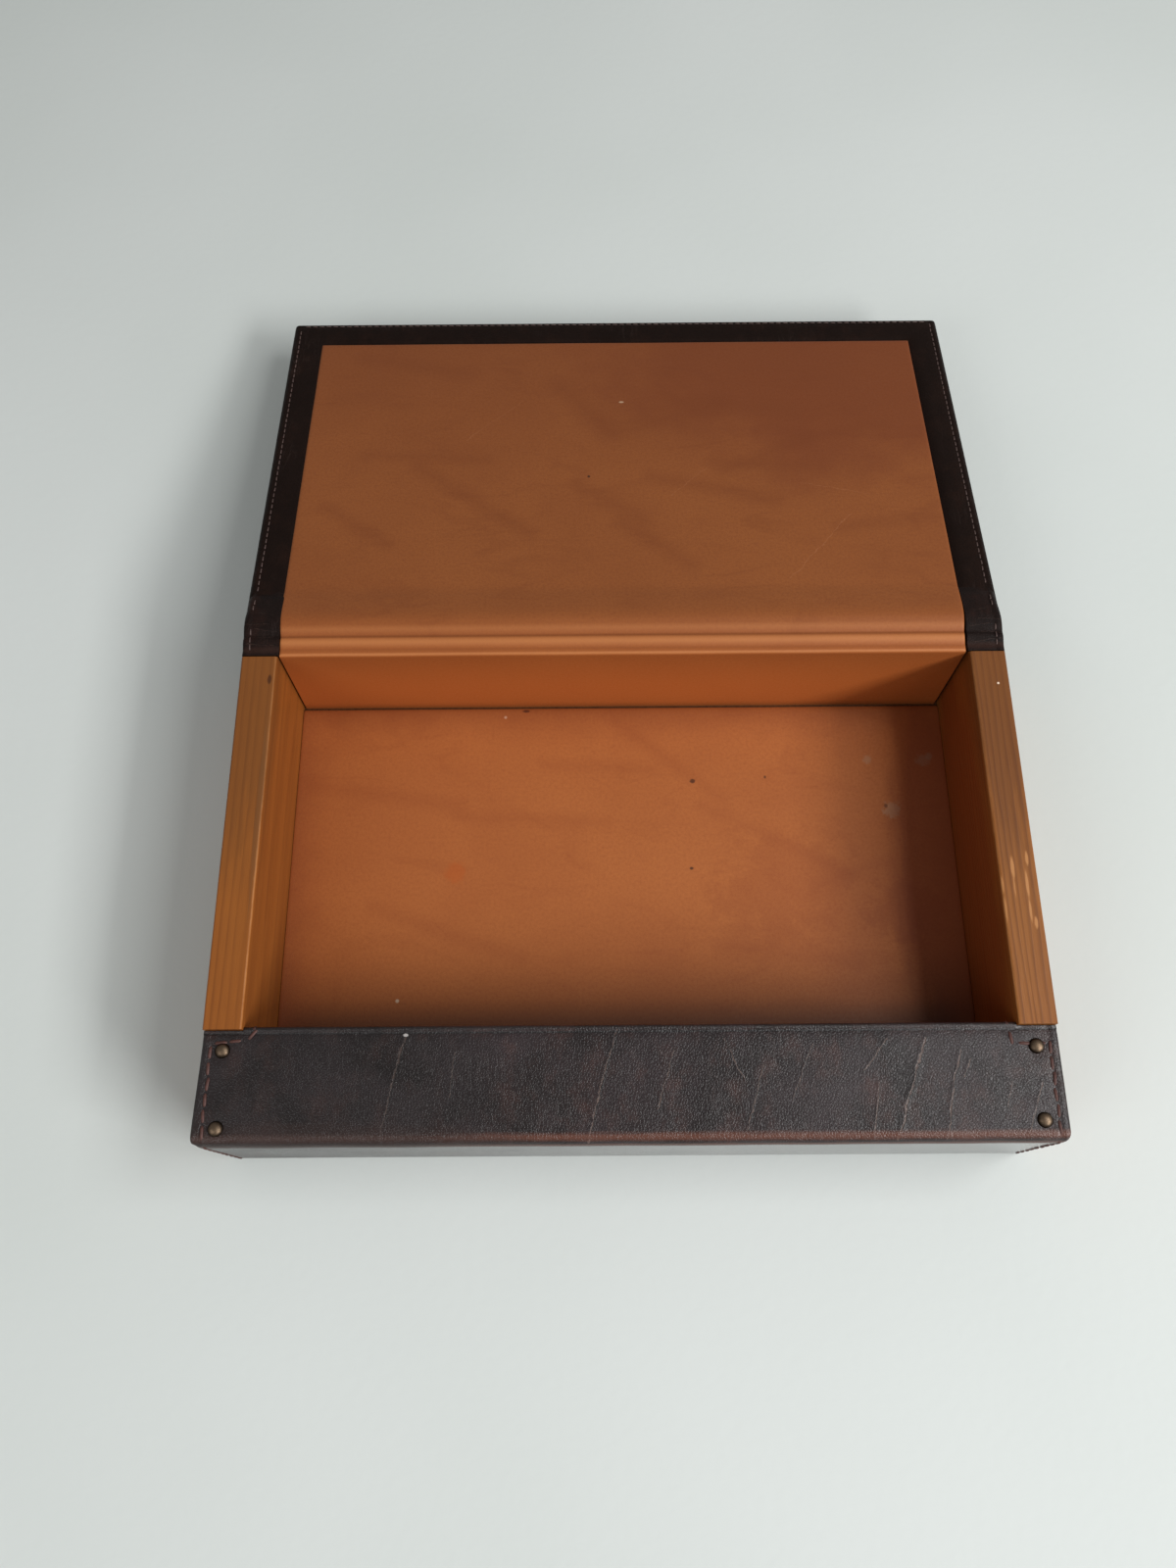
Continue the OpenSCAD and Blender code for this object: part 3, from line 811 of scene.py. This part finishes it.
floor_veins = [
    ((-118, 45), (-62, 36), 1.5, 0.3), ((-2, 70), (38, 38), 1.2, 0.25), ((30, 36), (84, 8), 1.1, 0.25),
    ((-92, -3), (-38, -22), 1.4, 0.25), ((-30, 53), (12, 50), 1.2, 0.25),
    ((35, -19), (84, -24), 1.5, 0.25), ((-62, 32), (-6, 29), 1.2, 0.25), ((70, 3), (100, 14), 1.2, 0.25)]
floor_lining.data.materials.append(calf_leather(
    "floor_calf", calf_base, calf_dark, 0.2, floor_spots, floor_veins,
    # painted shade: the two dark bands along the front of the floor stand for the shadow under the ledge's
    # overhang
    bands=[(-47.5, 12, soot_and_shade, 0.62), (-50, 32, soot_and_shade, 0.4)],
    edges=(floor_half, floor_front, floor_back, 22, srgb(122, 58, 30), 0.6)))
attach(floor_lining, "tray")
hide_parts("floor_lining")

# ---------------------------------------------------------------- lid
# A stiff board wrapped in the same dark hide, 5.2 mm thick in all. The hide is turned in
# over the inner face on three sides as a hem, stitched a few millimetres from the edge,
# and its outer face shows when the box is closed.
pivot = (90.5, 49.3)
drop = math.radians(9.5)
open_lid = Matrix.Translation((0, pivot[0] / 1000, pivot[1] / 1000)) @ Matrix.Rotation(-drop, 4, "X")
lid_half, lid_near, lid_far, lid_r = 136.7, 1.7, 161.5, 2.6
side_hem, far_hem = 3.3, 2.4
lid_edges = [0, 0.15, 0.45, 0.9, 1.5, 2.1, 2.6, 3.3, 4.0, 4.8, 6.5, 9, 12, 13.65, 13.7, 17]
lid_xs = spread(lid_half, lid_edges, 9)[1:-1]
lid_us = [lid_near + d for d in (0.15, 0.45, 0.9, 1.5, 2.1, 2.6, 4.4, 6.5, 8.5, 10.5, 12.3, 14, 18)]
lid_us += [19.7 + 124.3 * i / 15 for i in range(1, 15)]
lid_us += [lid_far - d for d in (14.35, 14.3, 13, 10, 7.5, 5.5, 4, 3.1, 2.4, 1.9, 1.4, 0.9, 0.45, 0.15)]
lid_hide = cut_block("lid_hide", (-lid_half, lid_near, -5.2), (lid_half, lid_far, 0), lid_xs, lid_us)
flat_map(lid_hide)


def wrap_lid(x, u, n):
    top = n > -2.6
    dx, dn, df = lid_half - abs(x), u - lid_near, lid_far - u
    near = min(dx, dn, df)
    if dx < lid_r and min(dn, df) < lid_r:
        vx, vu = lid_r - dx, lid_r - min(dn, df)
        k = max(vx, vu) / (vx ** 4 + vu ** 4) ** 0.25
        x = math.copysign(lid_half - lid_r + vx * k, x)
        u = lid_far - lid_r + vu * k if df < dn else lid_near + lid_r - vu * k
    height = math.sqrt(max(0.0, lid_r ** 2 - (lid_r - min(near, lid_r)) ** 2))
    relief = -0.24 * (math.exp(-((dx - side_hem) / 0.7) ** 2) * (df > 1) +
                      math.exp(-((df - far_hem) / 0.6) ** 2) * (dx > 2))
    relief += 0.12 * math.exp(-((min(dx, df) - 6) / 2.5) ** 2) + soft(x, u, 17, 0.1)
    if top:
        n = -lid_r + height + (relief if near > 1.2 else 0)
        if dx > 13.67 and df > 14.32:
            n = -1.25
        if u < 14:
            n = min(n, -1.3 if u < 6.2 else -1.3 * (14.3 - u) / 8.1)
    else:
        n = -lid_r - height - (relief if near > 1.2 else 0)
        n += 0.0 if near < 3 else soft(x + 90, u, 40, 0.2)
    return x, u, n


shape(lid_hide, wrap_lid)
only(lid_hide)
edit_all()
bpy.ops.mesh.remove_doubles(threshold=0.00001)
bpy.ops.object.mode_set(mode="OBJECT")
smooth(lid_hide)
lid_hide.data.transform(open_lid)
lid_leather = dark_hide("lid_hide", srgb(27, 17, 13), srgb(35, 24, 20), (0.5, 0.64), 0.4, 0.06, srgb(46, 28, 21))
lid_hide.data.materials.append(lid_leather)
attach(lid_hide, "lid")
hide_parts("lid_cover")

# ---------------------------------------------------------------- tan lining over the back and the lid
# One sheet of the same tan calf: it lines the back wall's inner face, is turned over its
# top, bends over the hinge line, and lines the lid up to its hem. A crease is pressed
# into it over the back wall. It bends where the lid turns.


def on_lid(u, n):
    """A point of the lid's own frame, in the box's frame, as (y, z)."""
    return (pivot[0] + u * math.cos(drop) + n * math.sin(drop),
            pivot[1] - u * math.sin(drop) + n * math.cos(drop))


over_hinge = [(79.4, 48.93), (80.0, 48.9), (80.6, 48.95), (81.4, 49.2), (82.2, 49.46), (83.0, 49.68),
              (83.7, 49.78), (84.2, 49.74), (84.7, 49.58), (85.2, 49.46), (85.7, 49.55), (86.3, 49.8),
              (87.1, 50.1), (88.0, 50.36), (89.0, 50.58), (90.1, 50.72), (91.14, 50.78), (91.16, 50.78),
              (92.2, 50.7), (93.4, 50.52), (94.8, 50.2), (96.4, 49.78), (98.2, 49.26), (100.2, 48.68),
              (102.2, 48.12)]
lining_path = [(77.5, 4.2)] + between((77.5, 4.2), (77.5, 47.6), 10)
lining_path += arc((78.7, 47.75), 1.2, 180, 90, 5)
lining_path += over_hinge + [on_lid(u, 0.25) for u in (14.5, 17, 20)]
lining_path += [on_lid(20 + 126.6 * i / 16, 0.25) for i in range(1, 16)]
lining_path += [on_lid(u, 0.25) for u in (143, 145.5, 147.0)]
lining_half = 122.9
lining_columns = spread(lining_half, [0, 0.3, 0.8, 1.6, 3, 6], 8)
back_and_lid_lining = pull_sheet("back_and_lid_lining", lining_columns, lining_path)
turn_out(back_and_lid_lining, (0, 120, 44), (0, 0, 1))


def lay_lining(x, y, z):
    edge = lining_half - abs(x)
    wider = min(max((y - 84) / 14, 0), 1)
    x *= (122.6 + 0.8 * wider - (0.5 + 0.1 * wider if x > 0 else 0)) / lining_half
    if y < 78:
        y += soft(x, z, 25, 0.15)
    else:
        z += soft(x, y, 26, 0.09) + (soft(x, 0, 9, 0.05) if y < 92 else 0)
        z -= 0.25 * step_down(edge, 0.7)
    return x, y, z


shape(back_and_lid_lining, lay_lining)
thicken(back_and_lid_lining, 1.2, 0.2)
# distance along the sheet to the back's top edge and to the lid's border
run_top = 43.4 + 1.9 + 0.7
lid_run = run_top + 12.3 + 11.8


def lid_at(x, u):
    """A point of the lid on the flat sheet."""
    return x, lid_run + u - 13.5 + 2.0


# painted shade: this sheet's base is darker than the floor lining's, the same calf, for the lid tilted away from
# the light; the back wall's part is lightened again by a band below
lid_base, lid_dark = srgb(149, 86, 42), srgb(118, 60, 27)
faint, painted_highlight, painted_shade = srgb(184, 122, 82), srgb(208, 136, 80), srgb(112, 58, 28)
lining_veins = [(lid_at(a, b), lid_at(c, d), width, strength) for a, b, c, d, width, strength in (
    (-24, 122, -4, 95, 2.2, 0.4), (-2, 93, 42, 110, 2.4, 0.35), (-98, 82, -52, 80, 1.4, 0.3),
    (-78, 75, -34, 41, 1.6, 0.35), (-112, 55, -87, 36, 1.4, 0.3), (12, 70, 60, 57, 1.6, 0.35),
    (41, 72, 76, 91, 1.6, 0.35), (76, 91, 106, 97, 1.4, 0.3), (0, 46, 26, 25, 1.6, 0.3),
    (36, 77, 78, 74, 1.5, 0.35), (-15, 65, 9, 48, 1.6, 0.3), (83, 43, 120, 48, 1.4, 0.3),
    (-104, 138, -60, 128, 1.8, 0.3), (20, 112, 70, 106, 2.0, 0.3))]
lining_scratches = [(lid_at(a, b), lid_at(c, d), width, faint, strength) for a, b, c, d, width, strength in (
    (62, 18, 88, 50, 0.25, 0.35), (20, 60, 34, 74, 0.22, 0.3), (-60, 90, -38, 112, 0.22, 0.25),
    (70, 66, 96, 60, 0.22, 0.25))]
lining_leather = calf_leather(
    "lid_calf", lid_base, lid_dark, 0.25,
    [(lid_at(-11.7, 70), (0.7, 0.7), 0.6, soot_and_shade, 0.9),
     (lid_at(1.7, 111), (1.2, 0.6), 0.8, srgb(226, 196, 160), 0.95),
     # painted shade: the large spot darkens the lid towards its far right, where less light falls
     (lid_at(92, 140), (110, 80), 1.0, srgb(112, 52, 26), 0.55)],
    lining_veins, lining_scratches,
    # painted light and shade in bands: the back wall's face lighter and oranger where the light falls on it; over
    # the hinge, painted highlights on the arris and the slopes and painted shade in the grooves; the lid darker
    # towards its far end
    [(16, 52, srgb(194, 105, 48), 0.75), (run_top - 1.2, 0.9, painted_highlight, 0.45), (run_top + 0.7, 0.8, painted_shade, 0.15),
     (run_top + 3.6, 2.6, painted_highlight, 0.45), (run_top + 5.8, 1.0, painted_shade, 0.4), (run_top + 8.6, 2.0, painted_highlight, 0.2),
     (lid_run + 165, 130, lid_dark, 0.5)])
back_and_lid_lining.data.materials.append(lining_leather)
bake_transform(back_and_lid_lining)
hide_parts("back_lining", "hinge_lining", "lid_lining")

# ---------------------------------------------------------------- leather hinge
# The dark hide runs on from the tray's back into the lid as the spine. It is built as it lies open,
# folded in over the back's top and down round the lid's back edge; closed, the real fold draws out
# into a narrow upright strip, which is not built. At each end the lid's hem crosses the hinge on top
# and lies in the side walls' rebates.
fold = [(89.3, 47.76), (90.0, 47.76), (90.5, 47.76), (90.9, 47.66), (91.3, 47.42), (91.58, 47.05)]
fold += arc((94.3, 46.03), 2.66, 168, 260.5, 8) + [on_lid(5.6, -5.26), on_lid(7.4, -5.24)]
spine_columns = spread(half_box, [0, 0.3, 1, 2.5, 3.3, 5, 9], 6)
spine = pull_sheet("spine", spine_columns, fold)
turn_out(spine, (0, 90.0, 47.76), (0, 0, -1))
thicken(spine, 1.15, 0.2)
inner_fold = [(90.53, 46.8), (90.53, 47.4), (90.53, 47.71), (89.4, 47.73), (89.4, 47.95), (90.1, 47.71),
              (90.1, 46.8)]
spine_fold = pull_sheet("spine_fold", spine_columns, inner_fold)
turn_out(spine_fold, (0, 90.53, 47.1), (0, 1, 0))
tab_path = [(77.95, 48.85), (78.6, 48.9)] + [(y, z - 0.1) for y, z in over_hinge]
tab_path += [on_lid(12.9, 0.02), on_lid(14.4, -0.02)]
tab_columns = (lining_half, 123.2, 124, 126, 128, 130, 132, 132.7, 133.3, 134, 134.6, 135.1, 135.5, 135.85, 136.1)
tabs = []
for side in (-1, 1):
    tab = pull_sheet("tab", sorted(side * c for c in tab_columns), tab_path)
    turn_out(tab, (side * 130, 88, 50), (0, 0, 1))

    def lay_tab(x, y, z):
        edge = 136.15 - abs(x)
        z += 0.1 * math.exp(-((edge - 2.0) / 0.9) ** 2) - 0.22 * math.exp(-((edge - 3.2) / 0.7) ** 2)
        z += soft(x, y, 3.5, 0.13) + soft(x + 40, y, 9, 0.15)
        # the outer edge rolls down: a little over the wall, as far as the lid's own edge beyond the hinge
        reach = 1.2 + 1.2 * min(max((y - 86) / 10, 0), 1)
        over = max(0.0, reach - edge)
        z -= reach - math.sqrt(max(0.0, reach ** 2 - over ** 2))
        return x, y, z

    shape(tab, lay_tab)
    thicken(tab, hide_t, 0.3)
    tabs.append(tab)
hinge_tabs = join(tabs, "hinge_tab_pair")
tab_wrinkles = [((side * a, b), (side * c, d), 0.16, 2.2) for side in (-1, 1) for a, b, c, d in (
    (124.5, 3.6, 135, 4.4), (126, 7.4, 136, 6.6), (124, 9.6, 132, 10.4), (127, 12.4, 136, 12.0),
    (125, 16, 131, 17))]
tab_leather = dark_hide("tab_hide", srgb(24, 15, 12), srgb(36, 25, 22), (0.44, 0.56), 0.6, 0.1, srgb(52, 31, 25),
                        tab_wrinkles, line=(62, 46, 40), folds=[(2.0, 2.0, 0.3, (74, 50, 42))])
spine.data.materials.append(lid_leather)
spine_fold.data.materials.append(lid_leather)
hinge_tabs.data.materials.append(tab_leather)
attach(spine, "lid")
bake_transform(spine_fold)
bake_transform(hinge_tabs)
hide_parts("hinge_cover")
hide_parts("hinge_tabs")

# ---------------------------------------------------------------- stitching
# Waxed reddish-brown linen thread: saddle stitches along the lid's hem on both its faces,
# along the hemmed ends of the ledge, the front and the back, and round the notch where
# the hide is turned down into the box.
bpy.ops.object.select_all(action="DESELECT")
bpy.ops.mesh.primitive_cylinder_add(vertices=6, radius=0.5, depth=1, location=(0, 0, 0))
stitch = bpy.context.object
bpy.ops.object.mode_set(mode="EDIT")
for at in (-0.42, -0.25, 0.25, 0.42):
    bpy.ops.mesh.select_all(action="SELECT")
    bpy.ops.mesh.bisect(plane_co=(0, 0, at), plane_no=(0, 0, 1))
bpy.ops.object.mode_set(mode="OBJECT")
stitch.data.transform(Matrix.Rotation(math.pi / 2, 4, "Y"))


def sew(name, places, length, thickness, jitter=0.12):
    """One stitch for each (point, direction, outward), in millimetres, as one piece."""
    made = []
    for k, (point, way, out) in enumerate(places):
        along = Vector(way).normalized()
        up = Vector(out).normalized()
        up = (up - along * up.dot(along)).normalized()
        across = up.cross(along)
        sway = noise.noise(Vector((k * 1.7, len(places) * 0.3, 0.5)))
        one = stitch.copy()
        one.data = stitch.data.copy()
        bpy.context.collection.objects.link(one)
        for v in one.data.vertices:
            t = abs(v.co.x) * 2
            width = thickness * (1 - 0.35 * t ** 3)
            sink = 0.7 * thickness * t ** 4
            aside = v.co.y * width + jitter * sway * (1 + 2 * v.co.x)
            v.co = (Vector(point) + along * v.co.x * length + across * aside
                    + up * (v.co.z * width * 0.8 - sink)) / 1000
        made.append(one)
    row = join(made, name)
    smooth(row, 60)
    return row


def run_stitches(points, pitch, out, start=0.0):
    """Places stitches at an even pitch along a line of points."""
    places, left = [], start
    for a, b in zip(points, points[1:]):
        a, b = Vector(a), Vector(b)
        way = b - a
        while left <= way.length:
            places.append((a + way.normalized() * left, way, out))
            left += pitch
        left -= way.length
    return places


def thread(name, colour):
    """Twisted waxed thread."""
    material, tree, shader = new_material(name)
    where = tree.nodes.new("ShaderNodeTexCoord").outputs["Object"]
    twist = cloud(tree, where, 2200, 3, 0.7)
    tone = mixed(tree, step(tree, twist, 0.3, 0.75, 0.0, 0.75), colour, srgb(34, 22, 18))
    tree.links.new(tone, shader.inputs["Base Color"])
    shader.inputs["Roughness"].default_value = 0.6
    bump(tree, shader, twist, 0.5, 0.0001)
    return material


def lid_row(n, out):
    rows = []
    x, far = lid_half - side_hem, lid_far - far_hem
    for a, b in (((-x, 15), (-x, far - 1)), ((-x + 1.5, far), (x - 1.5, far)), ((x, far - 1), (x, 15))):
        rows += run_stitches([(a[0], a[1], n), (b[0], b[1], n)], 2.9, out, 1.2)
    return rows


# the row over the hinge, in the lid's own frame
hinge_line = [((y - pivot[0]) * math.cos(drop) - (z - pivot[1]) * math.sin(drop),
               (y - pivot[0]) * math.sin(drop) + (z - pivot[1]) * math.cos(drop) + 0.02)
              for y, z in over_hinge if y > 96]
tab_row = []
for x in (side_hem - lid_half, lid_half - side_hem):
    tab_row += run_stitches([(x, u, n) for u, n in hinge_line], 2.9, (0, 0, 1), 0.6)
lid_rows = lid_row(-0.06, (0, 0, 1)) + tab_row + lid_row(-5.14, (0, 0, -1))
lid_stitches = sew("lid_stitches", lid_rows, 2.25, 0.5)
lid_stitches.data.transform(open_lid)
lid_stitches.data.materials.append(thread("lid_thread", srgb(94, 72, 66)))
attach(lid_stitches, "lid")
tray_row = []
for x in (-133.4, 133.4):
    tray_row += run_stitches([(x, y, z + 0.02) for y, z in over_hinge if 80 < y < 87.5], 2.9, (0, 0, 1), 0.6)
tab_stitches = sew("tab_stitches", tray_row, 2.25, 0.5)
tab_stitches.data.materials.append(lid_stitches.data.materials[0])
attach(tab_stitches, "tray")
ledge_rows = []
for side, x, back, cross, notch in ((-1, 133.35, -58.7, -57.4, 119.9), (1, 132.9, -60.3, -60.5, 120.3)):
    for a, b, pitch, out, start in (
            ((x, -88.0, 46.8), (x + 0.1, back, 46.8), 4.9, (0, 0, 1), 2.0),
            ((x - 0.6, back, 46.8), (121.4, cross, 46.75), 4.6, (0, 0, 1), 2.6),
            ((121.2, cross + 0.4, 46.7), (notch, -55.3, 46.9), 4.0, (0, 0, 1), 1.4),
            ((notch, -53.4, 46.0), (notch, -53.4, 40.6), 3.4, (0, 1, 0), 1.4),
            ((133, -90.45, 43.6), (133, -90.45, 2.0), 4.9, (0, -1, 0), 1.5),
            ((133, 90.45, 46.2), (133, 90.45, 2.0), 4.9, (0, 1, 0), 1.5)):
        ledge_rows += run_stitches([(side * p[0], p[1], p[2]) for p in (a, b)], pitch, out, start)
ledge_stitches = sew("tray_stitches", ledge_rows, 4.7, 1.1, 0.4)
ledge_stitches.data.materials.append(thread("tray_thread", srgb(92, 54, 46)))
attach(ledge_stitches, "tray")
bpy.data.objects.remove(stitch)

# ---------------------------------------------------------------- floor and light
# A plain pale sheet under the box. A large soft light stands to the right and in front, a
# higher one at the right, a weak one at the left, and there is a little light all round.
bpy.ops.object.select_all(action="DESELECT")
bpy.ops.mesh.primitive_plane_add(size=5, location=(0, 0, 0))
table = bpy.context.object
table.name = "table"
table_paper, tree, shader = new_material("table_paper")
where = tree.nodes.new("ShaderNodeTexCoord").outputs["Object"]
uneven = step(tree, cloud(tree, where, 3.0, 3), 0.3, 0.7)
tone = mixed(tree, uneven, srgb(211, 217, 213), srgb(219, 224, 221))
tree.links.new(tone, shader.inputs["Base Color"])
shader.inputs["Roughness"].default_value = 0.7
bump(tree, shader, cloud(tree, where, 260, 4), 0.15, 0.0006)
table.data.materials.append(table_paper)


def soft_light(name, place, length, width, energy):
    """An area light aimed at the box, its length along the box's depth. In metres and watts."""
    bpy.ops.object.light_add(type="AREA", location=place)
    lamp = bpy.context.object
    lamp.name = name
    lamp.data.shape = "RECTANGLE"
    lamp.data.size, lamp.data.size_y = length, width
    lamp.data.energy = energy
    back = Vector(place).normalized()
    along = (Vector((0, 1, 0)) - back * back.y).normalized()
    lamp.rotation_euler = Matrix((along, back.cross(along), back)).transposed().to_euler()


soft_light("window", (1.610, -1.128, 1.377), 1.2, 0.45, 37)
soft_light("high_light", (0.688, 0, 0.983), 0.55, 0.4, 4.7)
soft_light("left_fill", (-0.704, -0.591, 0.771), 0.55, 0.55, 2.2)
world = bpy.data.worlds.new("room")
world.use_nodes = True
bpy.context.scene.world = world
world.node_tree.nodes["Background"].inputs[0].default_value = (1, 1, 1, 1)
world.node_tree.nodes["Background"].inputs[1].default_value = 0.27
